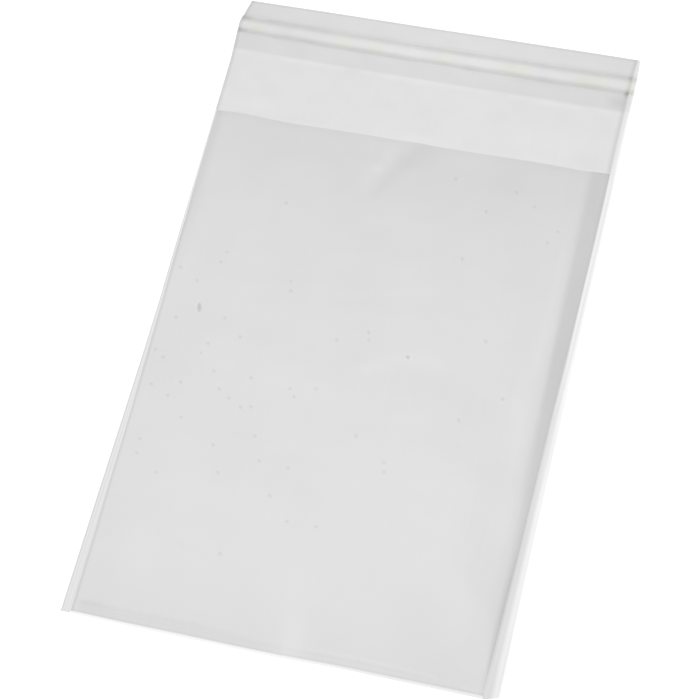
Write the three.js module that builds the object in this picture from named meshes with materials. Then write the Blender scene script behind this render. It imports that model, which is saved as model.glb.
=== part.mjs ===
// A clear self-sealing film bag, lying flat on its back with the flap open.
// Millimetres. X runs across the bag, Y from the bottom fold to the flap's free edge, Z up.
// The origin is the middle of the bag's outline, on the surface it lies on.
import * as THREE from "three";

// ---- driving dimensions ----
const LENGTH = 210; // bottom fold to the flap's free edge, nominal
const POCKET_DEPTH = 168; // bottom fold to the mouth, at the side seals
const FILM = 0.04; // thickness of the film

const PUFF = 6.2; // the front panel's stand-off from the back panel in the middle
const MOUTH_PUFF = 5.1; // the same, at the mouth
const SHOULDER = 22; // run over which the front panel rises from a side seal
const RISE = 38; // run over which it rises from the crease above the bottom fold
const CREASE_LEFT = 5.6; // crease above the bottom fold, at the left seal
const CREASE_RIGHT = 3.6; // the same, at the right seal
const CREASE_GAP = 0.25; // stand-off along that crease
const FOLD = 0.2; // depth of the pressed bottom fold
const FOLD_DROP_LEFT = 0.15; // the fold runs askew: how far it drops at the left side
const FOLD_DROP_RIGHT = 1.9; // the same, at the right side
const SKEW_RUN = 60; // the skew fades out over this distance above the fold
const MOUTH_SCOOP = 2.7; // how far the lifted mouth edge draws back in the middle

// Outline of the bag, nominally 122 wide: [distance from the bottom fold, X]
const LEFT_EDGE = [
  [0, -61.2], [34, -61.0], [66, -60.72], [83, -60.63], [100, -60.65], [117, -60.9], [135, -61.2], [168, -61.55],
  [187, -61.8], [194, -62.25], [198, -62.5], [201.2, -62.69], [203, -62.43], [204.5, -61.95], [207, -61.6], [210, -61.0],
];
const RIGHT_EDGE = [
  [0, 61.1], [14, 61.1], [44, 61.15], [59, 61.15], [75, 61.25], [91, 61.4], [107, 61.5], [124, 61.6],
  [141, 61.7], [168, 61.75], [188, 61.75], [195, 61.8], [199, 61.84], [202.7, 61.81], [206.5, 61.6], [210, 60.7],
];
// Inner lines of the two side seals
const LEFT_SEAM = [[0, -58.3], [50, -58.5], [83, -59.3], [105, -60.05], [123, -60.55], [POCKET_DEPTH, -61.0]];
const RIGHT_SEAM = [[0, 57.1], [31, 57.1], [74, 58.7], [110, 59.3], [148, 59.8], [POCKET_DEPTH, 59.7]];

const ADHESIVE_FROM_EDGE = 6.5; // flap's free edge to the adhesive, in the middle
const ADHESIVE_WIDTH = 6.3;
const ADHESIVE_THICKNESS = 0.03;
const ADHESIVE_SIDE_GAP = 0.3; // bare film at each end of the adhesive

const LINER_FROM_EDGE = 0.6; // flap's free edge to the release liner
const LINER_WIDTH = 18.5;
const LINER_THICKNESS = 0.04;
const LINER_SIDE_GAP = 0.2;
const STRIP_BOW_LEFT = 0.75; // how far the strips' lines rise towards the left end
const STRIP_BOW_RIGHT = 0.1; // the same, towards the right end

// Mesh stations of the front panel: fractions of the half width, and distances from the fold
const HALF_STATIONS = [0, 0.024, 0.068, 0.136, 0.22, 0.32, 0.44, 0.6, 0.8, 1];
const ROW_STATIONS = [FOLD, 1.4, 3.6, 6, 9, 13, 19, 26, 34, 44, 56, 70, 86, 102, 118, 134, 147, 158, POCKET_DEPTH];
const FLAP_STATIONS = [POCKET_DEPTH, 178, 187, 194, 198, 201.2, 203, 204.5, 207, LENGTH];

// ---- plan ----
function along(table, at) {
  for (let i = 1; i < table.length; i++) {
    const [a, va] = table[i - 1];
    const [b, vb] = table[i];
    if (at <= b) return va + ((vb - va) * (at - a)) / (b - a);
  }
  return table[table.length - 1][1];
}
const quarterSine = (run, full) => (run >= full ? 1 : Math.sin((Math.PI / 2) * (run / full)));
const smooth = (x) => THREE.MathUtils.smoothstep(x, 0, 1);

// The origin is put at the middle of the outline
const HALF = 61;
const X_SHIFT = -(Math.min(...LEFT_EDGE.map((p) => p[1])) + Math.max(...RIGHT_EDGE.map((p) => p[1]))) / 2;
const foldDrop = (x) => THREE.MathUtils.lerp(FOLD_DROP_LEFT, FOLD_DROP_RIGHT, (x + HALF) / (2 * HALF));
const Y_SHIFT = -(LENGTH - foldDrop(along(RIGHT_EDGE, 0))) / 2;
// Y of a point at a distance from the fold
const rowY = (x, dist) => Y_SHIFT + dist - foldDrop(x) * Math.max(0, 1 - dist / SKEW_RUN);
const leftEdge = (dist) => along(LEFT_EDGE, dist);
const rightEdge = (dist) => along(RIGHT_EDGE, dist);

// Stations across the pocket, 0 at the left seal and 1 at the right one
const COLUMNS = [
  ...HALF_STATIONS.map((v) => v / 2),
  ...HALF_STATIONS.slice(0, -1).reverse().map((v) => 1 - v / 2),
];
const N = COLUMNS.length - 1;
const M = ROW_STATIONS.length - 1;
const K = FLAP_STATIONS.length - 1;

// One point of the pocket: its place in plan and the front panel's stand-off there
function pocketPoint(s, dist) {
  const left = along(LEFT_SEAM, dist);
  const right = along(RIGHT_SEAM, dist);
  const x = left + (right - left) * s;
  const shoulder = quarterSine(Math.min(x - left, right - x), SHOULDER);
  const scoop = MOUTH_SCOOP * shoulder * smooth((dist - 90) / (POCKET_DEPTH - 90));
  const crease = THREE.MathUtils.lerp(CREASE_LEFT, CREASE_RIGHT, s);
  const fullness = THREE.MathUtils.lerp(PUFF, MOUTH_PUFF, smooth((dist - 60) / (POCKET_DEPTH - 60)));
  const run = dist - crease;
  const lift = run <= 0
    ? CREASE_GAP * ((dist - FOLD) / (crease - FOLD))
    : CREASE_GAP + (fullness - CREASE_GAP) * quarterSine(run, RISE);
  return { x, y: rowY(x, dist) - scoop, lift: lift * shoulder };
}

// ---- mesh helpers ----
class Surface {
  constructor() {
    this.positions = [];
    this.index = [];
  }
  vertex(x, y, z) {
    this.positions.push(x + X_SHIFT, y, z);
    return this.positions.length / 3 - 1;
  }
  // corners counter-clockwise, seen from outside
  fan(...ids) {
    for (let i = 1; i < ids.length - 1; i++) this.index.push(ids[0], ids[i], ids[i + 1]);
  }
  // a flat polygon whose vertices run counter-clockwise in the (p, q) plane given by flat()
  polygon(ids, flat) {
    const outline = ids.map((id) => {
      const at = id * 3;
      return flat(this.positions[at], this.positions[at + 1], this.positions[at + 2]);
    });
    for (const [a, b, c] of THREE.ShapeUtils.triangulateShape(outline, []))
      this.index.push(ids[a], ids[b], ids[c]);
  }
  geometry() {
    const g = new THREE.BufferGeometry();
    g.setAttribute("position", new THREE.Float32BufferAttribute(this.positions, 3));
    g.setIndex(this.index);
    g.computeVertexNormals();
    return g;
  }
}

// ---- the film: back panel with the flap, front panel, bottom fold and side seals in one piece ----
function filmGeometry() {
  const f = new Surface();
  const points = ROW_STATIONS.map((dist) => COLUMNS.map((s) => pocketPoint(s, dist)));
  const inSeal = (i, j) => i === 0 || i === N || j === 0;
  const edgeVertex = (edge, dist, z) => f.vertex(edge(dist), rowY(edge(dist), dist), z);

  // inner face of the front panel; along the seals and the fold it meets the back panel
  const ceiling = points.map((row, j) =>
    row.map((p, i) => f.vertex(p.x, p.y, FILM + (inSeal(i, j) ? 0 : p.lift))),
  );
  // outer face of the front panel, with the seals' outer edges at its two ends
  const outer = points.map((row, j) => [
    edgeVertex(leftEdge, ROW_STATIONS[j], 2 * FILM),
    ...row.map((p, i) => f.vertex(p.x, p.y, 2 * FILM + (inSeal(i, j) ? 0 : p.lift))),
    edgeVertex(rightEdge, ROW_STATIONS[j], 2 * FILM),
  ]);
  // the folded edge itself
  const fold = [
    edgeVertex(leftEdge, 0, 2 * FILM),
    ...points[0].map((p) => f.vertex(p.x, rowY(p.x, 0), 2 * FILM)),
    edgeVertex(rightEdge, 0, 2 * FILM),
  ];
  for (let j = 0; j < M; j++)
    for (let i = 0; i < N; i++)
      f.fan(ceiling[j][i], ceiling[j + 1][i], ceiling[j + 1][i + 1], ceiling[j][i + 1]);
  const skin = [fold, ...outer];
  for (let j = 0; j < skin.length - 1; j++)
    for (let i = 0; i < N + 2; i++)
      f.fan(skin[j][i], skin[j][i + 1], skin[j + 1][i + 1], skin[j + 1][i]);

  // edges of the back panel: at the level it lies on, and on the flap at its upper face
  const downStations = [0, ...ROW_STATIONS];
  const leftDown = downStations.map((d) => edgeVertex(leftEdge, d, 0));
  const rightDown = downStations.map((d) => edgeVertex(rightEdge, d, 0));
  const leftUp = FLAP_STATIONS.map((d) => edgeVertex(leftEdge, d, FILM));
  const rightUp = FLAP_STATIONS.map((d) => edgeVertex(rightEdge, d, FILM));
  const leftLow = [leftDown[M + 1], ...FLAP_STATIONS.slice(1).map((d) => edgeVertex(leftEdge, d, 0))];
  const rightLow = [rightDown[M + 1], ...FLAP_STATIONS.slice(1).map((d) => edgeVertex(rightEdge, d, 0))];

  // inner face: pocket floor and flap in one level, round the pocket's edge
  f.polygon(
    [
      ...ceiling[0],
      ...ceiling.slice(1).map((row) => row[N]),
      ...rightUp,
      ...[...leftUp].reverse(),
      ...ceiling.slice(1).map((row) => row[0]).reverse(),
    ],
    (x, y) => new THREE.Vector2(x, y),
  );
  // the face it lies on, seen from below
  f.polygon(
    [...leftDown, ...leftLow.slice(1), ...[...rightLow].reverse(), ...rightDown.slice(0, -1).reverse()],
    (x, y) => new THREE.Vector2(-x, y),
  );

  // cut edge of the front panel at the mouth, and the ends of the seals
  const lower = [leftUp[0], ...ceiling[M], rightUp[0]];
  for (let i = 0; i < N + 2; i++) f.fan(lower[i + 1], lower[i], outer[M][i], outer[M][i + 1]);

  // side edges along the seals; the last stretch also meets the flap's upper level
  for (let j = 0; j <= M; j++) {
    const last = j === M;
    f.fan(skin[j][0], ...(last ? [skin[j + 1][0], leftUp[0]] : [skin[j + 1][0]]), leftDown[j + 1], leftDown[j]);
    f.fan(skin[j][N + 2], rightDown[j], rightDown[j + 1], ...(last ? [rightUp[0]] : []), skin[j + 1][N + 2]);
  }
  // side edges of the flap, and its free edge
  for (let k = 0; k < K; k++) {
    f.fan(leftUp[k], leftUp[k + 1], leftLow[k + 1], leftLow[k]);
    f.fan(rightUp[k], rightLow[k], rightLow[k + 1], rightUp[k + 1]);
  }
  f.fan(leftUp[K], rightUp[K], rightLow[K], leftLow[K]);
  // the folded edge
  f.polygon([leftDown[0], rightDown[0], ...[...fold].reverse()], (x, y, z) => new THREE.Vector2(x, z));
  return f.geometry();
}

// ---- strips on the flap ----
const bow = (x) => (x < 0 ? STRIP_BOW_LEFT : STRIP_BOW_RIGHT) * (x / HALF) ** 2;

function stripGeometry(fromEdge, width, sideGap, thickness, topBow) {
  const top = LENGTH - fromEdge;
  const low = top - width;
  const across = [-1, -0.75, -0.5, -0.25, 0, 0.25, 0.5, 0.75, 1];
  const line = (dist, curved) =>
    across.map((c) => {
      const left = leftEdge(dist + (curved ? bow(-HALF) : 0)) + sideGap;
      const right = rightEdge(dist + (curved ? bow(HALF) : 0)) - sideGap;
      const x = left + (right - left) * ((c + 1) / 2);
      return new THREE.Vector2(x + X_SHIFT, rowY(x, dist + (curved ? bow(x) : 0)));
    });
  const side = (edge, gap) =>
    FLAP_STATIONS.filter((d) => d > low + 0.9 && d < top - 0.1).map(
      (d) => new THREE.Vector2(edge(d) + gap + X_SHIFT, rowY(edge(d), d)),
    );
  const shape = new THREE.Shape([
    ...line(low, true),
    ...side(rightEdge, -sideGap),
    ...line(top, topBow).reverse(),
    ...side(leftEdge, sideGap).reverse(),
  ]);
  return new THREE.ExtrudeGeometry(shape, { depth: thickness, bevelEnabled: false });
}

// ---- materials ----
const clearFilm = new THREE.MeshStandardMaterial({
  color: 0xdededf, roughness: 0.16, metalness: 0, transparent: true, opacity: 0.35,
});
const clearGlue = new THREE.MeshStandardMaterial({
  color: 0xe4e5da, roughness: 0.45, metalness: 0, transparent: true, opacity: 0.55,
});
const clearLiner = new THREE.MeshStandardMaterial({
  color: 0xdcddde, roughness: 0.2, metalness: 0, transparent: true, opacity: 0.35,
});

// ---- assembly ----
const bag = new THREE.Group();
bag.name = "clear_film_bag";

const film = new THREE.Mesh(filmGeometry(), clearFilm);
film.name = "bag_film";
bag.add(film);

const adhesive = new THREE.Mesh(
  stripGeometry(ADHESIVE_FROM_EDGE, ADHESIVE_WIDTH, ADHESIVE_SIDE_GAP, ADHESIVE_THICKNESS, true),
  clearGlue,
);
adhesive.name = "adhesive_strip";
adhesive.position.z = FILM;
bag.add(adhesive);

const liner = new THREE.Mesh(
  stripGeometry(LINER_FROM_EDGE, LINER_WIDTH, LINER_SIDE_GAP, LINER_THICKNESS, false),
  clearLiner,
);
liner.name = "release_liner";
liner.position.z = FILM + ADHESIVE_THICKNESS;
bag.add(liner);

export default bag;
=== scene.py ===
import math

import bpy
import numpy as np
from mathutils import Matrix


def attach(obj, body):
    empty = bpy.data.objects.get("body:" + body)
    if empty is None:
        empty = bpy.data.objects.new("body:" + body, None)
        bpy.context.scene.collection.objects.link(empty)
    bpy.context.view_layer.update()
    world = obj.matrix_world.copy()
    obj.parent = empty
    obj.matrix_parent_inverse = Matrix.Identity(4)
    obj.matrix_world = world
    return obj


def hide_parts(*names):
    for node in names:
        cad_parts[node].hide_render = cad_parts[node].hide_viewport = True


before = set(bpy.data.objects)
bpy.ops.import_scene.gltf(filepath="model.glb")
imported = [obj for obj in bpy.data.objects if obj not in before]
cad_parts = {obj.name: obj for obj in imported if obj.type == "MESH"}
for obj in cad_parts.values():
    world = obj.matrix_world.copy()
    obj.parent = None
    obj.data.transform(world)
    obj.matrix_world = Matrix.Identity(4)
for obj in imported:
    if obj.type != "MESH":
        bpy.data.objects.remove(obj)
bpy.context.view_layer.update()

MM = 0.001

# ---------------------------------------------------------------------------
# Sizes of the bag in millimetres. X across, Y from the bottom fold to the
# flap's free edge, Z up; "dist" is a distance from the bottom fold.
# ---------------------------------------------------------------------------
WIDTH, LENGTH, POCKET, FILM = 122.0, 210.0, 168.0, 0.04
HALF, Y0 = WIDTH / 2, -LENGTH / 2

PUFF, MOUTH_PUFF = 6.0, 5.0          # stand-off of the front panel, middle and mouth
HEM = ([-58, -52, -24, -4, 3, 19, 33, 56], [4.3, 4.6, 4.9, 3.5, 3.1, 2.9, 2.9, 1.7])   # pressed band above the bottom fold: X, height
HEM_GAP = 0.3                        # stand-off where that band ends
RISE = 40.0                          # run over which the panel rises above the band
SHOULDER_LEFT, SHOULDER_RIGHT = 30.0, 34.0
KNEE_SLOPE = 0.42                    # steep strip beside the right seal
FOLD_DROP_LEFT, FOLD_DROP_RIGHT, SKEW_RUN = 0.15, 1.9, 60.0

# outline of the bag and inner lines of its side seals: distance from the fold, X
LEFT_EDGE = (
    [0, 34, 66, 83, 100, 117, 135, 168, 187, 194, 198, 201.2, 203, 204.5, 207, 210],
    [-61.0, -60.8, -60.52, -60.43, -60.47, -60.75, -61.03, -61.35, -61.53, -61.97, -62.22, -62.41, -62.15, -61.67, -61.22, -60.55],
)
RIGHT_EDGE = (
    [0, 14, 44, 59, 75, 91, 107, 124, 141, 168, 188, 195, 199, 202.7, 206.5, 210],
    [61.4, 61.4, 61.45, 61.5, 61.6, 61.72, 61.78, 61.8, 61.88, 62.0, 62.1, 62.05, 62.05, 62.05, 61.95, 61.75],
)
LEFT_SEAM = (
    [0, 25, 40, 55, 66, 83, 89, 99, 109, 120, 129, 140, 168, 187, 201, 210],
    [-58.3, -58.4, -58.68, -58.75, -58.9, -59.25, -59.4, -59.6, -59.9, -60.15, -60.25, -60.55, -61.0, -61.2, -61.9, -60.4],
)
RIGHT_SEAM = (
    [0, 13, 28, 43, 58, 74, 90, 106, 123, 140, 154, 165, 172, 180, 188, 194, 200, 205, 210],
    [56.75, 57.2, 57.5, 58.0, 58.2, 58.45, 58.8, 59.15, 59.5, 59.75, 59.9, 59.95, 59.9, 59.95, 60.1, 60.15, 60.3, 60.4, 60.8],
)
# width of the steep strip beside the right seal
KNEE_RUN = ([0, 16, 28, 55, 71, 90, 109, 124, 153, 168], [0.8, 1.0, 1.5, 1.7, 2.2, 3.4, 4.5, 5.0, 5.9, 6.0])

TAPE_TOP, TAPE_LOW = 203.1, 196.75   # the adhesive's two edges, as distances from the fold
LINER_TOP, LINER_LOW = 209.4, 190.6  # the liner's two edges
GLUE = 0.03

# shift from these tables to the shared frame, whose origin is the middle of the part's outline
OFF_X, OFF_Y = 0.425, 0.949


# ---------------------------------------------------------------------------
# Small numeric helpers
# ---------------------------------------------------------------------------
def smooth(a, b, v):
    k = np.clip((v - a) / (b - a), 0.0, 1.0)
    return k * k * (3 - 2 * k)


def bump(v, centre, half):
    """1 at centre, falling smoothly to 0 at half away from it."""
    return 1 - smooth(0.0, 1.0, np.abs(v - centre) / half)


def blob(x, y, cx, cy, rx, ry, turn=0.0):
    """Soft round patch: 1 in the middle, e^-1 at its radii."""
    c, s = math.cos(math.radians(turn)), math.sin(math.radians(turn))
    u, v = (x - cx) * c + (y - cy) * s, -(x - cx) * s + (y - cy) * c
    return np.exp(-((u / rx) ** 2) - (v / ry) ** 2)


def quarter_sine(run, full):
    return np.sin(np.pi / 2 * np.clip(run / full, 0, 1))


def waves(x, y, seed, scale, octaves=5):
    """Smooth repeatable unevenness, about -1 to 1, with features of about scale mm."""
    rng = np.random.RandomState(seed)
    out = np.zeros(np.broadcast(x, y).shape)
    total = 0.0
    for k in range(octaves):
        for _ in range(3):
            ang, ph = rng.uniform(0, 2 * np.pi, 2)
            freq = 2 * np.pi / (scale * rng.uniform(0.7, 1.5)) * (1.55 ** k)
            amp = 0.6 ** k
            out += amp * np.sin(freq * (x * np.cos(ang) + y * np.sin(ang)) + ph)
            total += amp * amp * 0.5
    return out / (2.2 * math.sqrt(total))


def table(t, at):
    return np.interp(at, t[0], t[1])


def dim(tone, share):
    """Share of light that a face holds back, to look darker by a number of tone steps out of 220."""
    return 1 - np.clip(1 - tone / 220.0, 0.05, 1.0) ** share


def drop(x, dist):
    """The bottom fold runs slightly askew."""
    full = FOLD_DROP_LEFT + (FOLD_DROP_RIGHT - FOLD_DROP_LEFT) * (x + HALF) / WIDTH
    full = full + 0.2 * smooth(-60, -40, x) * (1 - smooth(-5, 15, x)) - 0.45 * smooth(0, 22, x)
    return full * np.clip(1 - dist / SKEW_RUN, 0, 1)


def bow(x, left, right):
    """The strips' lines rise a little towards their ends."""
    return np.where(x < 0, left, right) * (x / HALF) ** 2


# ---------------------------------------------------------------------------
# Shape of the front panel
# ---------------------------------------------------------------------------
RIDGE_FROM, RIDGE_TO = (4.0, 59.0), (-8.0, 38.0)   # soft crease that runs in from the mouth


def ridge_axes(x, y):
    ax, ay = RIDGE_TO[0] - RIDGE_FROM[0], RIDGE_TO[1] - RIDGE_FROM[1]
    length = math.hypot(ax, ay)
    ax, ay = ax / length, ay / length
    along = ((x - RIDGE_FROM[0]) * ax + (y - RIDGE_FROM[1]) * ay) / length
    across = (x - RIDGE_FROM[0]) * -ay + (y - RIDGE_FROM[1]) * ax
    return along, across


def lift(x, dist):
    """Stand-off of the front panel from the back panel at a point in plan."""
    dl, dr = x - table(LEFT_SEAM, dist), table(RIGHT_SEAM, dist) - x
    full = PUFF + (MOUTH_PUFF - PUFF) * smooth(60, POCKET, dist)
    knee = table(KNEE_RUN, dist)
    step = knee * KNEE_SLOPE
    right = (step * np.tanh(np.clip(dr, 0, None) / knee) + (full - step) * quarter_sine(dr, SHOULDER_RIGHT)) / full
    left = quarter_sine(dl, SHOULDER_LEFT)
    hem = table(HEM, x)
    run = dist - hem
    rise = np.where(run <= 0, HEM_GAP * np.clip(dist / hem, 0, 1), HEM_GAP + (full - HEM_GAP) * quarter_sine(run, RISE))
    return np.clip(rise * left * right, 0, None)


def front_height(x, y, dist):
    h = lift(x, dist)
    free = np.clip(h / 1.6, 0, 1)
    h = h + free * (0.10 * waves(x, y, 3, 46) + 0.04 * waves(x, y, 5, 17))
    along, across = ridge_axes(x, y)
    fade = (1 - smooth(0.35, 1.15, along)) * smooth(-0.5, -0.02, along)
    h = h + free * fade * (0.24 * np.exp(-((across + 1.2) / 3.6) ** 2) - 0.14 * np.exp(-((across - 3.6) / 3.6) ** 2))
    # the mouth's edge waves a little more than the rest of the panel
    h = h + free * 0.12 * waves(x, y * 0.2, 9, 36, 3) * smooth(130, POCKET, dist)
    return np.clip(h, 0.0, None)


def back_height(x, y, dist):
    """The back panel lies on the surface; the free flap lifts off it by a hair in places."""
    free = smooth(POCKET - 6, POCKET + 14, dist)
    return free * (0.10 + 0.09 * waves(x, y, 21, 38))


# ---------------------------------------------------------------------------
# Mesh building
# ---------------------------------------------------------------------------
class Shell:
    """Collects vertices with surface values (haze, veil, warmth), and faces between them."""

    def __init__(self):
        self.points, self.values, self.quads, self.extra, self.count = [], [], [], [], 0

    def grid(self, x, y, z, haze, veil, warm=0.0):
        shape = np.broadcast(x, y, z).shape
        flat = [np.broadcast_to(v, shape).ravel() for v in (x, y, z, haze, veil, warm)]
        ids = np.arange(self.count, self.count + flat[0].size).reshape(shape)
        self.points.append(np.stack(flat[:3], 1))
        self.values.append(np.stack(flat[3:], 1))
        self.count += flat[0].size
        return ids

    def cells(self, ids, up, skip=None):
        a, b, c, d = ids[:-1, :-1], ids[:-1, 1:], ids[1:, 1:], ids[1:, :-1]
        order = (a, b, c, d) if up else (a, d, c, b)
        quads = np.stack([v.ravel() for v in order], 1)
        if skip is not None:
            quads = quads[~skip.ravel()]
        self.quads.append(quads)

    def strip(self, low, high):
        """A wall between two rows of vertices; low to high is up, seen with low[0] on the left."""
        self.quads.append(np.stack([low[:-1], low[1:], high[1:], high[:-1]], 1))

    def build(self, name):
        points = np.concatenate(self.points)
        points = (points + (OFF_X, OFF_Y, 0.0)) * MM
        values = np.concatenate(self.values)
        faces = np.concatenate(self.quads).tolist() + self.extra
        used = np.zeros(len(points), bool)
        for f in faces:
            used[f] = True
        new_id = np.cumsum(used) - 1
        faces = [[int(new_id[v]) for v in f] for f in faces]
        mesh = bpy.data.meshes.new(name)
        mesh.from_pydata(points[used].tolist(), [], faces)
        mesh.update()
        for i, key in enumerate(("haze", "veil", "warm")):
            att = mesh.attributes.new(key, "FLOAT", "POINT")
            att.data.foreach_set("value", values[used, i].astype(np.float32))
        mesh.polygons.foreach_set("use_smooth", np.ones(len(mesh.polygons), bool))
        mesh.set_sharp_from_angle(angle=math.radians(50))
        obj = bpy.data.objects.new(name, mesh)
        bpy.context.scene.collection.objects.link(obj)
        return obj


def stations(first, last, fine_start, fine_end, step):
    """Positions from first to last: the listed offsets at each end, even steps between."""
    head = [first + v for v in fine_start]
    tail = [last - v for v in reversed(fine_end)]
    n = max(1, int(round((tail[0] - head[-1]) / step)))
    middle = list(np.linspace(head[-1], tail[0], n + 1)[1:-1])
    return np.array(head + middle + tail)


# ---------------------------------------------------------------------------
# The film: one folded web, welded at both sides
# ---------------------------------------------------------------------------
HAZE_SEAL = 0.012                      # share of light that a face of the welded seals scatters; the plain film is clear
BOTH, ONCE = 1.0, 2.2                  # how tone steps share out over two faces near the floor, or one face high above it
TONE_FRONT = 6.3                       # tone steps of the plain front panel, and of the back panel by distance from the fold
# the back panel's grey is partly the film's own light grey cast and partly painted shade: the shadow and dim reflection
# the film would show, as the floor glows evenly
BACK_TONE_AND_SHADE = ([0, 10, 20, 45, 75, 107, 138, 158, 168, 174, 187, 191, 210], [35.8, 34.2, 32.9, 31.0, 30.6, 30.6, 32.4, 35.2, 35.4, 34.7, 34.7, 34.8, 34.8])

# small dark marks in the front panel: X, Y, half width, half height, tone steps
MARKS = [
    (-47.4, -6.9, 0.78, 2.0, 21), (15.8, -12.4, 0.75, 0.8, 17), (-45, 8.8, 0.61, 0.61, 9.7), (-22.1, 2.4, 0.61, 0.61, 9.6),
    (-57, 6.6, 0.61, 0.61, 9.7), (-53.7, -10.5, 0.62, 0.61, 10.9), (-53.9, -23.9, 0.61, 0.67, 10.9), (-32.8, -15.3, 0.62, 0.61, 10.8),
    (-37.4, -27.3, 0.64, 0.61, 10.2), (-34.4, -32.8, 0.62, 0.62, 11.3), (-30.9, -35.2, 0.64, 0.61, 10.3), (-26.3, -27.7, 0.64, 0.61, 10.8),
    (-14.6, -28.9, 0.61, 0.61, 9.6), (-46.4, -31.8, 0.62, 0.61, 10.9), (-54.8, -32.9, 0.61, 0.61, 11.3), (-53.3, -50.7, 0.61, 0.64, 10.9),
    (-31.5, -50.4, 0.62, 0.61, 10.8), (-20.6, -45.4, 0.64, 0.61, 10.2), (-17.6, -52.7, 0.61, 0.61, 9.6), (-5.5, -69.1, 0.61, 0.61, 9.7),
    (2.7, -69, 0.61, 0.61, 9.3), (-21.5, -81.5, 0.61, 0.61, 9.6), (-30.9, 31.5, 0.64, 0.61, 10.2), (16.4, 49.4, 0.61, 0.61, 9.3),
    (34.7, 48.2, 0.61, 0.61, 9.3), (49.2, 38.1, 0.64, 0.61, 9.7), (24, 22.7, 0.61, 0.61, 9.1), (44.6, -19.3, 0.67, 0.58, 10.9),
    (-5.3, -10.8, 0.61, 0.61, 9.1), (3.7, -9, 0.61, 0.61, 9.1), (36.3, -2.7, 0.64, 0.58, 10.2), (17.2, -49.1, 0.61, 0.61, 8.9),
    (-41.5, -18.7, 0.61, 0.61, 9.6), (-48.9, -36.4, 0.64, 0.61, 9.9), (-43, -43, 0.64, 0.61, 9.6), (-38.8, -9.9, 0.61, 0.61, 9.7),
    (-26.9, -37.5, 0.61, 0.64, 9.7), (-50.6, 2.1, 0.61, 0.61, 9.3), (-42.8, -21.9, 0.54, 0.54, 8.5), (-35.8, -34.6, 0.58, 0.59, 9.2),
    (-24, -36.7, 0.62, 0.64, 9.9), (-12.9, -31.2, 0.54, 0.69, 10.6), (-7.4, -27.4, 0.58, 0.54, 8.5), (-53, -55.2, 0.62, 0.59, 9.2),
    (-45.5, -60.9, 0.54, 0.64, 9.9), (3, -6.6, 0.58, 0.69, 10.6), (16.6, -46.2, 0.62, 0.54, 8.5), (-9.2, -53.2, 0.54, 0.59, 9.2),
    (34.1, -29.1, 0.58, 0.64, 9.9), (7.1, -39.7, 0.62, 0.69, 10.6), (-22.9, 5.6, 0.54, 0.54, 8.5), (-44, 12.4, 0.58, 0.59, 9.2),
    (-57, -21.4, 0.62, 0.64, 9.9), (27.5, 40.2, 0.54, 0.69, 10.6), (41, 44.6, 0.58, 0.54, 8.5), (47, 33.6, 0.62, 0.59, 9.2),
    (-28, -58.6, 0.54, 0.64, 9.9), (-12, -62.5, 0.58, 0.69, 10.6),
]


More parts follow.
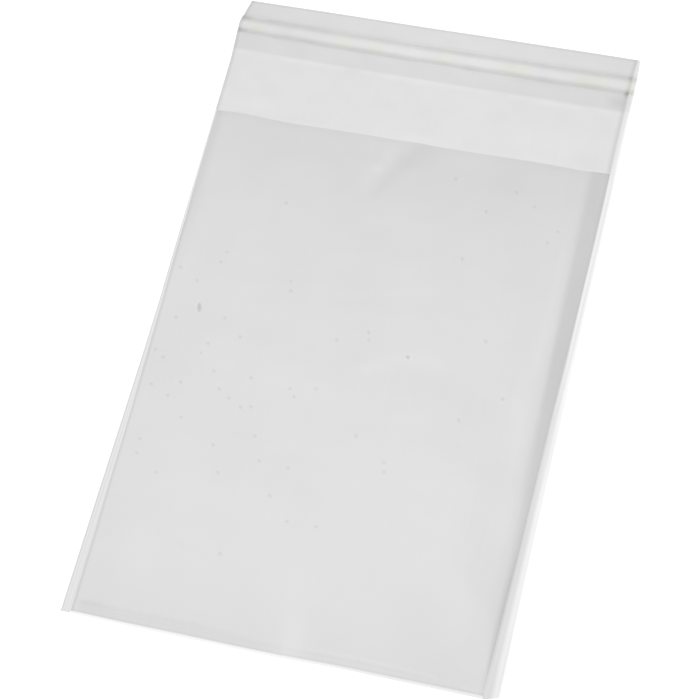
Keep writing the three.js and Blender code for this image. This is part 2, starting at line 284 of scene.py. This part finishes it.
def film():
    ref = 117.0
    across = stations(
        0.0, ref,
        [0, 0.2, 0.4, 0.6, 0.85, 1.2, 1.6, 2.1, 2.8, 3.8, 5.0, 6.3, 7.8],
        [0, 0.2, 0.4, 0.6, 0.85, 1.15, 1.5, 1.9, 2.4, 3.0, 3.7, 4.4, 5.2, 6.0, 6.9, 7.8, 8.9, 10.2],
        1.35,
    ) / ref
    fin_l = np.linspace(0.0, 1.0, 16)[:-1]
    fin_r = np.linspace(0.0, 1.0, 22)[1:]
    rows = stations(
        0.0, POCKET,
        [0, 0.15, 0.3, 0.45, 0.6, 0.75, 0.9, 1.05, 1.2, 1.4, 1.7, 2.1, 2.6, 3.1, 3.6, 4.1, 4.6, 5.1, 5.6, 6.2, 7.0, 8.2, 9.5],
        [0, 0.12, 0.25, 0.4, 0.6, 0.8, 1.05, 1.4, 1.9, 2.6, 3.6, 5.0],
        1.4,
    )
    flap = np.concatenate([
        stations(POCKET, 189.0, [0, 0.4, 0.8, 1.2, 1.7, 2.3], [0], 1.4)[:-1],
        np.arange(189.0, 196.0, 0.5),
        np.arange(196.0, 205.0, 0.35),
        stations(205.0, LENGTH, [0], [0, 0.12, 0.25, 0.4, 0.6, 0.9], 0.9),
    ])
    dist = np.concatenate([rows, flap[1:]])
    nm = len(rows) - 1

    # plan grid: left seal, pocket, right seal
    D = dist[:, None]
    le, re = table(LEFT_EDGE, D), table(RIGHT_EDGE, D)
    xl, xr = np.maximum(table(LEFT_SEAM, D), le + 0.45), np.minimum(table(RIGHT_SEAM, D), re - 0.6)
    X = np.concatenate([le + (xl - le) * fin_l, xl + (xr - xl) * across, xr + (re - xr) * fin_r], 1)
    cl, cr = len(fin_l), len(fin_l) + len(across) - 1
    D = np.broadcast_to(D, X.shape)
    S = np.clip((X + HALF) / WIDTH, 0, 1)
    h_mouth = lift(X[nm], np.full(X.shape[1], POCKET))
    # the lifted mouth edge draws back, so its line stays straight across the bag
    slack = 0.85 * smooth(-57, -36, X[nm]) * (1 - smooth(50, 61, X[nm]))
    scoop = (0.527 * h_mouth + slack)[None, :] * smooth(80, POCKET, D)
    scoop = np.where(D > POCKET, 0, scoop)
    Yb = Y0 + D - drop(X, D) - 0.05 * smooth(203.5, LENGTH, D)
    # the right seal's lower corner is cut back a little
    Yb = Yb + 0.32 * np.clip(X - 57.6, 0, None) * np.clip(1 - D / 10, 0, 1)
    Y = Yb - scoop
    # along the seals both panels share their points
    Yb[:, : cl + 1], Yb[:, cr:] = Y[:, : cl + 1], Y[:, cr:]

    zb = back_height(X, Yb, D)
    H = front_height(X, Y, D)
    H[:, : cl + 1] = 0
    H[:, cr:] = 0
    H[0] = 0

    dl, dr = X - xl, xr - X
    el, er = X - le, re - X                  # distances from the bag's own side edges
    fin_left, fin_right = np.zeros(X.shape, bool), np.zeros(X.shape, bool)
    fin_left[:, :cl] = True
    fin_right[:, cr + 1:] = True
    in_fin = fin_left | fin_right
    on_flap = D > POCKET

    # --- back panel and flap: tone steps, whose base grey is partly painted shade
    tone_b = table(BACK_TONE_AND_SHADE, D) + 0.9 * waves(X, Yb, 51, 40) - on_flap * np.where(D < 190, 1.8 * X / HALF - 3.0 * smooth(43, 57, X) - 0.6, -np.where(X < 0, 4.6, 3.2) * (X / HALF) ** 2 - 0.4)
    tone_b = tone_b + 0.8 * on_flap * waves(X, Yb, 59, 11, 4)
    tone_b = tone_b + 2.2 * blob(X, D, 36, 188, 13, 7) + 1.6 * blob(X, D, 38, 183.5, 13, 4) - 3.4 * blob(X, D, -49, 171.5, 6, 3) + 3.0 * blob(X, D, -24, 190.2, 9, 1.6) + 2.4 * blob(X, D, 18, 190.6, 12, 1.8) + 1.4 * bump(D, 193.5, 5) * bump(X, -6, 30) - 3.4 * blob(X, D, 1, 169.3, 9, 1.8)
    # paler strips beside the liner's lower edge and just above the mouth: painted highlights, where the cut edges catch
    # the light
    liner_low = LINER_LOW + bow(X, 0.75, -0.2)
    tone_b = tone_b - 5.0 * bump(D, liner_low - 0.8, 1.5) * (0.7 + 0.5 * waves(X, 0 * X, 53, 14))
    tone_b = tone_b - 0.8 * bump(D, POCKET + 0.1, 2.2) * (0.8 + 0.4 * waves(X, 0 * X, 55, 26))
    # the adhesive wets the film, which is clearer under it
    t_top, t_low = TAPE_TOP + bow(X, 0.75, 0.3), TAPE_LOW + bow(X, 0.9, 0.1)
    tone_b = tone_b - (6.0 - 1.6 * smooth(-10, -50, X)) * smooth(0.5, 2.1, np.minimum(D - t_low, t_top - D))
    # free edge of the flap, and its side edges
    tone_b = tone_b + 11 * bump(D, LENGTH - 0.3, 0.7)
    tone_b = tone_b + on_flap * (12 * bump(el, 0.4, 1.0) + (12 - 6 * bump(D, 193.5, 4)) * bump(dr, 0.1, 1.5))
    # darker spots where the adhesive's ends meet the sides, and painted shade over the flap's right end below the
    # adhesive
    end_spots_and_shade = 13 * blob(X, D, -60.7, 203.3, 1.6, 0.8) + 10 * blob(X, D, -61.1, 198.3, 1.5, 0.8)
    end_spots_and_shade = end_spots_and_shade + 12 * blob(X, D, 60.1, 202.9, 0.8, 0.6) + 30 * blob(X, D, 60.0, 197.0, 0.9, 0.9) + 5 * blob(X, D, 59.3, 193.6, 1.3, 2.8) + 7.5 * blob(X, D, 57.2, 193.4, 2.8, 2.6) + 1.5 * blob(X, D, 42, 200, 11, 3) + 3.4 * blob(X, D, 34, 196.2, 11, 1.5)
    tone_b = tone_b + end_spots_and_shade
    # fin outside the left seal: outline, then fine lines
    width_l = np.maximum(xl - le, 0.3)
    lines_l = 12 * bump(el, 0.2, 0.5) - 3 * bump(el, 0.62, 0.34) + 4 * bump(el, 1.15, 0.32) - 2 * bump(el, 1.65, 0.34) + 4 * bump(el, 2.2, 0.32)
    narrow = (8 - 6 * smooth(110, 140, D)) * bump(el, 0.15, 0.42) - 3 * bump(el, 0.88, 0.32)
    tone_lf = 32.5 + 2.5 * smooth(80, 20, D) - 3.0 * smooth(118, 136, D) + narrow + (lines_l - narrow) * smooth(0.8, 1.3, width_l)
    # fin outside the right seal: pale, with soft lines that run along it
    w = np.clip(X - xr, 0, None)
    q = w / np.maximum(re - xr, 0.6)
    lower = smooth(112, 70, D)
    wu, wf, ql = w + 0.3 - 0.22 * bump(D, 102, 24), w + 0.4, q * 0.92 + 0.09
    upper_fin = 20 + 35 * (1 - smooth(0.0, 0.85, wu)) + 7.5 * bump(wu, 1.45, 0.6) - 7.5 * smooth(1.7, 2.4, wu)
    flap_fin = 28 + 23 * (1 - smooth(0.0, 1.15, wf)) - 17 * smooth(1.35, 2.35, wf)
    lower_fin = 39.5 + 18.5 * (1 - smooth(0.0, 0.27, ql)) - 19 * smooth(0.36, 0.77, ql) - 9.5 * smooth(0.88, 1.0, ql)
    tone_rf = upper_fin + (lower_fin - upper_fin) * lower + (flap_fin - upper_fin) * smooth(160, 174, D)
    tone_rf = tone_rf + 4 * smooth(12, 2, D) * bump(q, 0.55, 0.3) + 3.0 * smooth(45, 5, D) * smooth(0.2, 0.4, q) + 2.0 * smooth(40, 10, D) * smooth(0.55, 0.75, q) - 5.5 * bump(q, 0.33, 0.3) * bump(D, 72, 18) + 4.0 * bump(q, 0.08, 0.16) * bump(D, 24, 24) + 4.0 * bump(er, 0.62, 0.42) * smooth(48, 26, D) + 1.5 * waves(X * 3, D * 0.3, 57, 9, 3)
    tone_rf = tone_rf * (0.55 + 0.45 * smooth(0.0, 0.4, er))
    tone_b = np.where(fin_left & ~on_flap, tone_lf, np.where(fin_right, tone_rf, tone_b))

    # --- front panel: tone steps
    tone_f = TONE_FRONT + 0.5 * waves(X, Y, 63, 30)
    # left seal: fine dark line, wider and softer towards the mouth
    high = smooth(120, 150, D)
    tone_f = tone_f + (9.5 - 9.5 * high) * bump(dl, 0.35, 0.75) + 5.8 * high * (1 - smooth(0.6, 3.6, dl))
    tone_f = tone_f + 2.8 * (1 - smooth(0.8, 5.0, dl)) * bump(D, 126, 36)
    # right seal: painted shade, a dark strip that narrows downwards with a soft inner border; it stands for the darker
    # room mirrored in the panel's curved shoulder, beside the seam's fine dark line
    shade_band_width = np.interp(D, [0, 16, 28, 55, 71, 90, 109, 124, 153, 168], [0.8, 1.0, 1.5, 2.2, 3.2, 3.85, 4.35, 4.75, 5.45, 5.6])
    shade_depth = np.interp(D, [0, 8, 25, 60, 90, 108, 130, 168], [2, 4, 7, 8, 12, 12.5, 9.5, 4.5])
    wide = smooth(95, 65, D)
    k = np.clip((dr / shade_band_width - 0.7 + 0.35 * wide) / (0.45 + 0.75 * wide), 0, 1)
    tone_f = tone_f + shade_depth * (1 - k * k * (3 - 2 * k))
    tone_f = tone_f + np.interp(D, [0, 15, 32, 50, 70, 100, 130, 168], [3, 5, 9, 4, 2, 1.5, 3, 4.5]) * (1 - smooth(0.0, 1.3, dr))
    # lighter patches and darker seam edges that shape the painted shade strip
    clear = np.interp(D, [15, 43, 58, 74, 90, 106, 123, 140, 154, 168], [0, 2.5, 3.3, 4.2, 2.2, 2.0, 2.6, 1.0, 1.5, 2.5])
    tone_f = tone_f - clear * bump(dr, table(KNEE_RUN, D) + 4.0, 5.0 + 0.3 * table(KNEE_RUN, D)) + 1.5 * np.exp(-np.clip(dr, 0, None) / 5.0) * bump(D, 60, 58)
    tone_f = tone_f - 3.6 * blob(dr, D, 12.5, 48, 8, 25) - 2.6 * blob(dr, D, 11.0, 76, 6, 14) + 2.6 * (1 - smooth(0.0, 2.2, dr)) * bump(D, 24, 28) - 3.6 * bump(dr, 6.9, 3.4) * smooth(90, 106, D)
    # pressed band above the fold, with a darker start at the left
    hem = table(HEM, X)
    inside = smooth(1.2, 2.4, dl)
    tone_f = tone_f + inside * (2.9 - 1.5 * bump(X, 2.5, 9)) * (1 - smooth(hem - 0.7, hem + 0.5, D))
    tone_f = tone_f + 0.9 * inside * np.cos(2 * np.pi * D / 1.25) * (1 - smooth(hem - 1.2, hem, D))
    tone_f = tone_f + 3.2 * smooth(-57.0, -56.0, X) * (1 - smooth(-52.5, -48.5, X)) * bump(D, 4.0, 1.3)
    # mouth: fine dark edge and a slightly darker zone under it
    below = POCKET - D
    tone_f = tone_f + (3.4 - 2.8 * bump(X, 2, 20) - 1.8 * bump(X, 25, 14)) * bump(below, 0.5, 1.8) * (0.85 + 0.4 * waves(X, 0 * X, 61, 24, 3)) + 2.5 * np.exp(-below / 3.5)
    tone_f = tone_f + 2.5 * blob(X, Y, 31, 53, 12, 6.0, -6)
    # crease from the mouth: painted shade along it, and a lighter, mottled strip beside it
    along, acr = ridge_axes(X, Y)
    fade = (1 - smooth(0.6, 1.15, along)) * smooth(-0.35, 0.02, along)
    tone_f = tone_f + 6.0 * fade * np.exp(-((acr - 0.9) / (3.7 - 1.7 * np.clip(along, 0, 1))) ** 2)
    mottle = 0.6 + 0.6 * waves(X, Y, 65, 6, 3)
    tone_f = tone_f - (2.0 + 2.2 * mottle) * fade * np.exp(-((acr + 4.4) / 2.2) ** 2) * smooth(0.05, 0.45, along)
    # faint clear smears and clouds
    tone_f = tone_f - 2.0 * (0.4 + mottle) * (blob(X, Y, 7, -17.2, 6, 2.1, 30) + blob(X, Y, 20, -12.7, 7, 2.1, 2))
    tone_f = tone_f - 1.3 * blob(X, Y, 5.5, 7.0, 15, 1.3, 13.8) + 0.7 * blob(X, Y, 5.5, 5.0, 15, 1.2, 13.8)
    tone_f = tone_f + 1.5 * blob(X, Y, -45, 42, 8, 9) + 1.6 * blob(X, Y, -43, -14, 14, 15) + 2.2 * blob(X, Y, -39, -71, 8, 14) + 1.2 * blob(X, Y, -22, -72, 6, 6)
    tone_f = tone_f - 1.1 * blob(X, Y, 13, -8, 26, 8) - 1.1 * blob(X, Y, 16, -58, 30, 28) - 0.9 * blob(X, Y, 6, -83, 14, 9) - 1.6 * blob(X, Y, 25, 19, 7, 7) - 1.2 * blob(X, Y, 15, -16, 11, 4, 14) - 2.2 * blob(X, D, -4, 165.5, 7, 3) - 2.2 * blob(X, D, 22, 164.5, 10, 4)
    tone_f = tone_f - 2.2 * mottle * blob(X, Y, -30, -79, 6, 7)
    tone_f = tone_f - 3.9 * blob(X, D, 3.3, 5.5, 3.6, 7.5)
    # the lower corners are a little darker
    tone_f = tone_f + 1.8 * blob(X, D, -52, 12, 9, 14) + 1.2 * blob(X, D, 42, 18, 10, 14) + 1.6 * blob(X, D, 47, 6, 13, 8)
    # bottom fold: dark crease line; the film outside it is paler
    crease = 0.85 + 0.6 * S - 0.14 * smooth(-30, -10, X) - 0.24 * smooth(0, 22, X)
    rim = smooth(0.5, 1.0, D / crease)
    tone_f = tone_f - 2.4 * smooth(-4, 14, X) * bump(D, crease + 0.7, 1.1) - 2.0 * smooth(0, 12, X) * (1 - smooth(42, 50, X)) * bump(D, hem + 0.7, 0.9)
    tone_f = (tone_f + (4.8 - 2.5 * bump(X, 6, 26) - 1.6 * bump(X, -24, 18) - 2.0 * smooth(10, 30, X)) * bump(D, crease + 0.1, 0.36)) * rim
    tone_b = tone_b * np.where(in_fin | on_flap, 1, rim + (1 - rim) * (0.48 + 0.22 * smooth(0, 30, X)))

    veil_b = dim(tone_b, BOTH)
    veil_f = np.where(in_fin, veil_b, dim(tone_f, ONCE))
    haze = np.where(in_fin, HAZE_SEAL, 0.0)

    s = Shell()
    low = s.grid(X, Yb, zb, haze, veil_b)
    top = s.grid(X, Yb, zb + FILM, haze, veil_b)
    inner = top[: nm + 1].copy()
    p = slice(cl + 1, cr)
    m = slice(0, nm + 1)
    inner[1:, p] = s.grid(X[1: nm + 1, p], Y[1: nm + 1, p], (zb + FILM + H)[1: nm + 1, p], 0.0, 0.0)
    thick = zb + 2 * FILM + H
    outer = s.grid(X[m], Y[m], thick[m], haze[m], veil_f[m])

    # marks: a block of cells is cut round each one, and filled with rings
    skip = np.zeros((nm, X.shape[1] - 1), bool)
    for mx, my, rx, ry, tone in MARKS:
        if tone < 15:
            rx, ry, tone = 1.28 * rx, 1.28 * ry, 0.7 * tone   # the small ones are soft
        j, i = np.unravel_index(np.argmin((X[:nm] - mx) ** 2 + (Y[:nm] - my) ** 2), X[:nm].shape)
        a = max(1, math.ceil((rx + 0.1) / (X[j, i + 1] - X[j, i]) - 0.2))
        b = max(1, math.ceil((ry + 0.1) / (Y[j + 1, i] - Y[j, i]) - 0.2))
        block = (slice(j - b, j + b), slice(i - a, i + a))
        if skip[block].any() or not cl + 2 < i - a < i + a < cr - 2 or not 1 < j - b < j + b < nm - 1:
            continue
        skip[block] = True
        loop = [(j - b, c) for c in range(i - a, i + a)] + [(r, i + a) for r in range(j - b, j + b)]
        loop += [(j + b, c) for c in range(i + a, i - a, -1)] + [(r, i - a) for r in range(j + b, j - b, -1)]
        bx, by = X[j, i + a] - X[j, i - a], Y[j + b, i] - Y[j - b, i]
        px, py = X[j, i] + np.clip(mx - X[j, i], rx - 0.48 * bx, 0.48 * bx - rx), Y[j, i] + np.clip(my - Y[j, i], ry - 0.48 * by, 0.48 * by - ry)
        corners = [(j - b, i - a), (j - b, i + a), (j + b, i + a), (j + b, i - a)]

        def at(x, y):
            u, v = (x - X[j, i - a]) / bx, (y - Y[j - b, i]) / by
            w4 = [(1 - u) * (1 - v), u * (1 - v), u * v, (1 - u) * v]
            return [sum(k * F[q] for k, q in zip(w4, corners)) for F in (thick, veil_f)]

        rings = [[int(outer[q]) for q in loop]]
        for scale, part in ((1.0, 0.0), (0.75, 0.55), (0.45, 0.95)):
            ring = []
            for q in loop:
                ux, uy = (X[q] - X[j, i]) / bx, (Y[q] - Y[j, i]) / by
                n = math.hypot(ux, uy)
                y = py + scale * ry * uy / n
                x = px + scale * rx * ux / n - 0.25 * (y - py)
                z, v = at(x, y)
                ring.append(int(s.grid(np.array([x]), y, z, 0.0, v + dim(part * tone, ONCE))[0]))
            rings.append(ring)
        z, v = at(px, py)
        mid = int(s.grid(np.array([px]), py, z, 0.0, v + dim(tone, ONCE))[0])
        for k in range(len(loop)):
            n = (k + 1) % len(loop)
            for wide, tight in zip(rings[:-1], rings[1:]):
                s.extra.append([wide[k], wide[n], tight[n], tight[k]])
            s.extra.append([rings[-1][k], rings[-1][n], mid])

    s.cells(low, False)
    s.cells(top[nm:], True)
    s.cells(top[m, cl: cr + 1], True)
    s.cells(inner[:, cl: cr + 1], False)
    s.cells(outer, True, skip)
    # outer edges: bottom fold, sides, flap's free edge
    s.strip(low[0], outer[0])
    s.strip(low[m, -1], outer[:, -1])
    s.strip(low[nm:, -1], top[nm:, -1])
    s.strip(outer[:, 0], low[m, 0])
    s.strip(top[nm:, 0], low[nm:, 0])
    s.strip(top[-1], low[-1])
    # cut edge of the front panel and the ends of the seals, at the mouth
    s.strip(outer[nm], inner[nm])
    return s.build("film_bag")


# ---------------------------------------------------------------------------
# Strips on the flap
# ---------------------------------------------------------------------------
PATCHES = [(-56.1, 1.9, 3.0), (-28.8, 3.0, 2.8), (-18.0, 2.8, 2.6), (3.4, 3.2, 3.0), (25.2, 4.2, 3.0), (48.8, 5.2, 3.2), (60.6, 2.0, 3.0)]


def glue():
    """The adhesive: a thin strip, thicker along its two edges, with pale yellow patches."""
    t = np.concatenate([[0, 0.1], np.arange(0.25, 6.15, 0.23), [6.25, 6.35]])
    u = np.linspace(0, 1, 181)
    U, T = np.meshgrid(u, t / t[-1])
    x_mid = -HALF + WIDTH * U
    low_line, top_line = TAPE_LOW + bow(x_mid, 0.9, 0.1), TAPE_TOP + bow(x_mid, 0.75, 0.3)
    wob = 0.07 * waves(x_mid, 0 * x_mid, 31, 26)
    D = low_line + (top_line - low_line) * T + wob
    le, re = table(LEFT_EDGE, D) + 0.2, table(RIGHT_EDGE, D) - 0.2
    X = le + (re - le) * U
    edge = np.minimum(D - wob - low_line, top_line - D + wob)
    upper = (T > 0.5) * 1.0
    zb = back_height(X, D - LENGTH / 2, D) + FILM + 0.004
    th = 0.012 + (GLUE - 0.012) * np.sqrt(np.clip(edge / 0.45, 0, 1)) + 0.030 * bump(edge, 0.55, 0.9)
    uneven = 1 + 0.18 * waves(X, 0 * X, 33, 20, 4)
    # dark lines along both edges: partly the thicker adhesive there, partly painted shade where the liner tents over
    # the edges
    line = bump(edge, 0.75, 2.0) * uneven
    near_end = smooth(4.0, 0.0, np.minimum(X - le, re - X))
    left = smooth(-25, -52, X)
    tone = (14.5 - 0.8 * upper - 1.6 * upper * left - 3.6 * upper * bump(X, -24, 24)) * line * (1 + 0.4 * near_end) + 0.9 * left + 0.8 * waves(X, D * 2, 35, 12, 3)
    veil = dim(np.clip(tone, 0, None), BOTH)
    warm = np.zeros(X.shape)
    for cx, rx, ry in PATCHES:
        warm = np.maximum(warm, np.exp(-(((X - cx) / rx) ** 4) - ((D - (low_line + top_line) / 2 + 0.9) / ry) ** 4))
    s = Shell()
    low = s.grid(X, D - LENGTH / 2, zb, 0.010, veil, warm)
    top = s.grid(X, D - LENGTH / 2, zb + th, 0.010, veil, warm)
    s.cells(low, False)
    s.cells(top, True)
    s.strip(low[0], top[0])
    s.strip(low[:, -1], top[:, -1])
    s.strip(top[-1], low[-1])
    s.strip(top[:, 0], low[:, 0])
    return s.build("flap_adhesive")


def liner():
    """The release liner: clear film over the adhesive, settling onto the flap on both sides."""
    t = stations(0.0, LINER_TOP - LINER_LOW, [0, 0.15, 0.3, 0.5, 0.8, 1.2], [0, 0.2, 0.5, 0.9], 0.45)
    u = np.linspace(0, 1, 121)
    U, T = np.meshgrid(u, t / t[-1])
    x_mid = -HALF + WIDTH * U
    low_line = LINER_LOW + bow(x_mid, 0.75, -0.2) + 0.06 * waves(x_mid, 0 * x_mid, 41, 22)
    D = low_line + (LINER_TOP - 0.05 - low_line) * T
    le, re = table(LEFT_EDGE, D) + 0.15, table(RIGHT_EDGE, D) - 0.15
    X = le + (re - le) * U
    t_top, t_low = TAPE_TOP + bow(X, 0.75, 0.3), TAPE_LOW + bow(X, 0.9, 0.1)
    edge = np.minimum(D - t_low, t_top - D)
    over = smooth(-1.3, 0.3, edge)
    zb = back_height(X, D - LENGTH / 2, D) + FILM + 0.012 + (GLUE + 0.045) * over
    zb = zb + 0.10 * (0.5 + 0.5 * waves(X, D, 43, 30)) * (1 - smooth(0.0, 4.0, D - low_line))
    # painted shade on the liner: where it tents down over the adhesive's edges, just below the adhesive, and at the
    # right end
    tent_shade = bump(edge, -0.5, 1.6)
    right_end_shade = smooth(54.0, 60.5, X)
    flank_shade = 13.5 * bump(edge, 0.75, 2.0) * (edge < 0) * (1 + 0.18 * waves(X, 0 * X, 33, 20, 4))
    tone = 0.5 + 1.0 * tent_shade + flank_shade + 2.0 * smooth(0.2, 1.2, t_low - D) + 2.0 * right_end_shade * bump(D, 194.0, 5.0) + 0.8 * waves(X, D, 45, 18, 4)
    veil = dim(np.clip(tone, 0, None), BOTH)
    s = Shell()
    low = s.grid(X, D - LENGTH / 2, zb, 0.0, veil)
    top = s.grid(X, D - LENGTH / 2, zb + FILM, 0.0, veil)
    s.cells(low, False)
    s.cells(top, True)
    s.strip(low[0], top[0])
    s.strip(low[:, -1], top[:, -1])
    s.strip(top[-1], low[-1])
    s.strip(top[:, 0], low[:, 0])
    return s.build("liner_strip")


# ---------------------------------------------------------------------------
# Materials
# ---------------------------------------------------------------------------
class Nodes:
    def __init__(self, tree):
        self.tree = tree
        tree.nodes.clear()

    def add(self, kind, inputs=None, **props):
        n = self.tree.nodes.new(kind)
        for k, v in props.items():
            setattr(n, k, v)
        for k, v in (inputs or {}).items():
            self.put(n.inputs[k], v)
        return n

    def put(self, socket, value):
        if isinstance(value, bpy.types.NodeSocket):
            self.tree.links.new(value, socket)
        else:
            socket.default_value = value

    def math(self, op, a, b=None, clamp=False):
        n = self.add("ShaderNodeMath", operation=op, use_clamp=clamp)
        self.put(n.inputs[0], a)
        if b is not None:
            self.put(n.inputs[1], b)
        return n.outputs[0]

    def ramp(self, value, lo, hi, out_lo=0.0, out_hi=1.0, kind="SMOOTHSTEP"):
        n = self.add("ShaderNodeMapRange", interpolation_type=kind)
        for i, v in enumerate((value, lo, hi, out_lo, out_hi)):
            self.put(n.inputs[i], v)
        return n.outputs[0]


def see_through(name, gloss=0.04, rough=0.0, streaks=0.015, warm=False):
    """Thin clear film: lets light through, with a faint haze that the mesh carries, and a glossy face."""
    mat = bpy.data.materials.new(name)
    mat.use_nodes = True
    g = Nodes(mat.node_tree)
    place = g.add("ShaderNodeTexCoord").outputs["Object"]
    haze = g.add("ShaderNodeAttribute", attribute_name="haze").outputs["Fac"]
    veil = g.add("ShaderNodeAttribute", attribute_name="veil").outputs["Fac"]

    # fine draw lines along the web, in the tone and in the gloss
    drawn = g.add("ShaderNodeVectorMath", {0: place, 1: (1500.0, 22.0, 0.0)}, operation="MULTIPLY").outputs[0]
    lines = g.add("ShaderNodeTexNoise", {"Vector": drawn, "Scale": 1.0, "Detail": 1.0, "Roughness": 0.6}).outputs["Fac"]
    veil = g.math("MULTIPLY", veil, g.ramp(lines, 0.25, 0.75, 1 - streaks, 1 + streaks, "LINEAR"))
    passed = g.math("SUBTRACT", 1.0, veil, clamp=True)

    body = g.add("ShaderNodeBsdfPrincipled", {"Base Color": (0.62, 0.62, 0.62, 1.0), "Roughness": 0.5})
    body.inputs["Specular IOR Level"].default_value = 0.2
    clear = g.add("ShaderNodeBsdfTransparent")
    if warm:
        # pale yellow cast of the adhesive where it lies thicker
        cast = g.add("ShaderNodeAttribute", attribute_name="warm").outputs["Fac"]
        tint = g.add("ShaderNodeMix", {0: cast, 6: (1.0, 1.0, 1.0, 1.0), 7: (0.998, 1.0, 0.973, 1.0)}, data_type="RGBA")
        tinted = g.add("ShaderNodeMix", {0: 1.0, 6: tint.outputs[2], 7: passed}, data_type="RGBA", blend_type="MULTIPLY")
        g.put(clear.inputs["Color"], tinted.outputs[2])
    else:
        g.put(clear.inputs["Color"], passed)
    mix = g.add("ShaderNodeMixShader", {0: haze, 1: clear.outputs[0], 2: body.outputs[0]})
    shine = g.add("ShaderNodeBsdfGlossy", {"Roughness": g.ramp(lines, 0.3, 0.7, rough * 0.85, rough * 1.15, "LINEAR")})
    facing = g.add("ShaderNodeLayerWeight", {"Blend": 0.5}).outputs["Facing"]
    rise = g.math("MULTIPLY", g.math("POWER", facing, 5.0), 1.0 - gloss)
    reflect = g.math("ADD", rise, gloss, clamp=True)
    both = g.add("ShaderNodeMixShader", {0: reflect, 1: mix.outputs[0], 2: shine.outputs[0]})
    out = g.add("ShaderNodeOutputMaterial")
    g.put(out.inputs["Surface"], both.outputs[0])
    return mat


# ---------------------------------------------------------------------------
# Build
# ---------------------------------------------------------------------------
bag = film()
bag.data.materials.append(see_through("clear_film"))
strip = glue()
strip.data.materials.append(see_through("adhesive", rough=0.3, streaks=0.12, gloss=0.006, warm=True))
cover = liner()
cover.data.materials.append(see_through("liner_film", gloss=0.024))

for piece, node, slot in ((bag, "bag_film", "film"), (strip, "adhesive_strip", "adhesive"), (cover, "release_liner", "liner")):
    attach(piece, "root")
    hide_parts(node)

# ---------------------------------------------------------------------------
# Stage: pale floor, soft light, camera
# ---------------------------------------------------------------------------
scene = bpy.context.scene

floor_mesh = bpy.data.meshes.new("floor")
floor_mesh.from_pydata([(-4, -4, -0.0006), (4, -4, -0.0006), (4, 4, -0.0006), (-4, 4, -0.0006)], [], [(0, 1, 2, 3)])
floor = bpy.data.objects.new("floor", floor_mesh)
scene.collection.objects.link(floor)
pale = bpy.data.materials.new("pale_floor")
pale.use_nodes = True
g = Nodes(pale.node_tree)
# a light table: matte and pale, lit evenly from within
matte = g.add("ShaderNodeBsdfDiffuse", {"Color": (0.10, 0.10, 0.10, 1.0), "Roughness": 0.0})
glow = g.add("ShaderNodeEmission", {"Color": (1.0, 1.0, 1.0, 1.0), "Strength": 1.0285})
lit = g.add("ShaderNodeAddShader", {0: matte.outputs[0], 1: glow.outputs[0]})
g.put(g.add("ShaderNodeOutputMaterial").inputs["Surface"], lit.outputs[0])
floor_mesh.materials.append(pale)

world = bpy.data.worlds.new("studio")
scene.world = world
world.use_nodes = True
g = Nodes(world.node_tree)
way = g.add("ShaderNodeTexCoord").outputs["Generated"]


def toward(x, y, z):
    n = math.sqrt(x * x + y * y + z * z)
    return g.add("ShaderNodeVectorMath", {0: way, 1: (x / n, y / n, z / n)}, operation="DOT_PRODUCT").outputs["Value"]


soft_box = g.ramp(toward(-0.10, -0.35, 0.93), 0.40, 0.86, 0.28, 1.10)
left_fill = g.ramp(toward(-0.80, 0.30, 0.50), 0.70, 0.97, 0.0, 0.35)
low_glow = g.ramp(toward(0, 0, 1), 0.05, 0.35, 0.55, 0.0)
dark_side = g.ramp(toward(0.62, 0.42, 0.66), 0.84, 0.97, 1.0, 0.05)
window = g.ramp(toward(0.5, -1.0, 2.1), 0.925, 0.99, 0.0, 1.5)
level = g.math("ADD", g.math("ADD", g.math("ADD", soft_box, left_fill), low_glow), window)
level = g.math("MULTIPLY", level, dark_side)
sky = g.add("ShaderNodeBackground", {"Color": (1.0, 1.0, 1.0, 1.0), "Strength": level})
g.put(g.add("ShaderNodeOutputWorld").inputs["Surface"], sky.outputs[0])


def area(name, place, target, size, watts):
    light = bpy.data.lights.new(name, "AREA")
    light.shape, light.size, light.energy = "SQUARE", size, watts
    obj = bpy.data.objects.new(name, light)
    scene.collection.objects.link(obj)
    back = np.array(place, float) - np.array(target, float)
    back /= np.linalg.norm(back)
    right = np.cross((0, 0, 1.0), back)
    right /= np.linalg.norm(right)
    up = np.cross(back, right)
    m = Matrix.Identity(4)
    for i in range(3):
        m[i][0], m[i][1], m[i][2], m[i][3] = right[i], up[i], back[i], place[i]
    obj.matrix_world = m
    return obj


# the film mirrors the soft window in the sky, not the lamp's hard outline
area("key", (0.5, -1.0, 2.1), (0, 0, 0), 0.9, 33).visible_glossy = False

lens = bpy.data.cameras.new("camera")
lens.sensor_fit, lens.sensor_width, lens.lens = "HORIZONTAL", 36.0, 129.254
lens.clip_start, lens.clip_end = 0.01, 50.0
camera = bpy.data.objects.new("camera", lens)
scene.collection.objects.link(camera)
camera.matrix_world = Matrix((
    (0.971422, -0.171978, 0.163596, 0.115982 + OFF_X * MM),
    (0.229307, 0.857975, -0.459671, -0.341666 + OFF_Y * MM),
    (-0.061308, 0.484048, 0.872891, 0.629373),
    (0, 0, 0, 1),
))
scene.camera = camera

scene.view_settings.view_transform = "Standard"
scene.view_settings.look = "None"
scene.cycles.max_bounces = 2
scene.cycles.diffuse_bounces = 1
scene.cycles.glossy_bounces = 1
scene.cycles.transparent_max_bounces = 32
scene.cycles.min_transparent_bounces = 6
scene.cycles.use_denoising = True
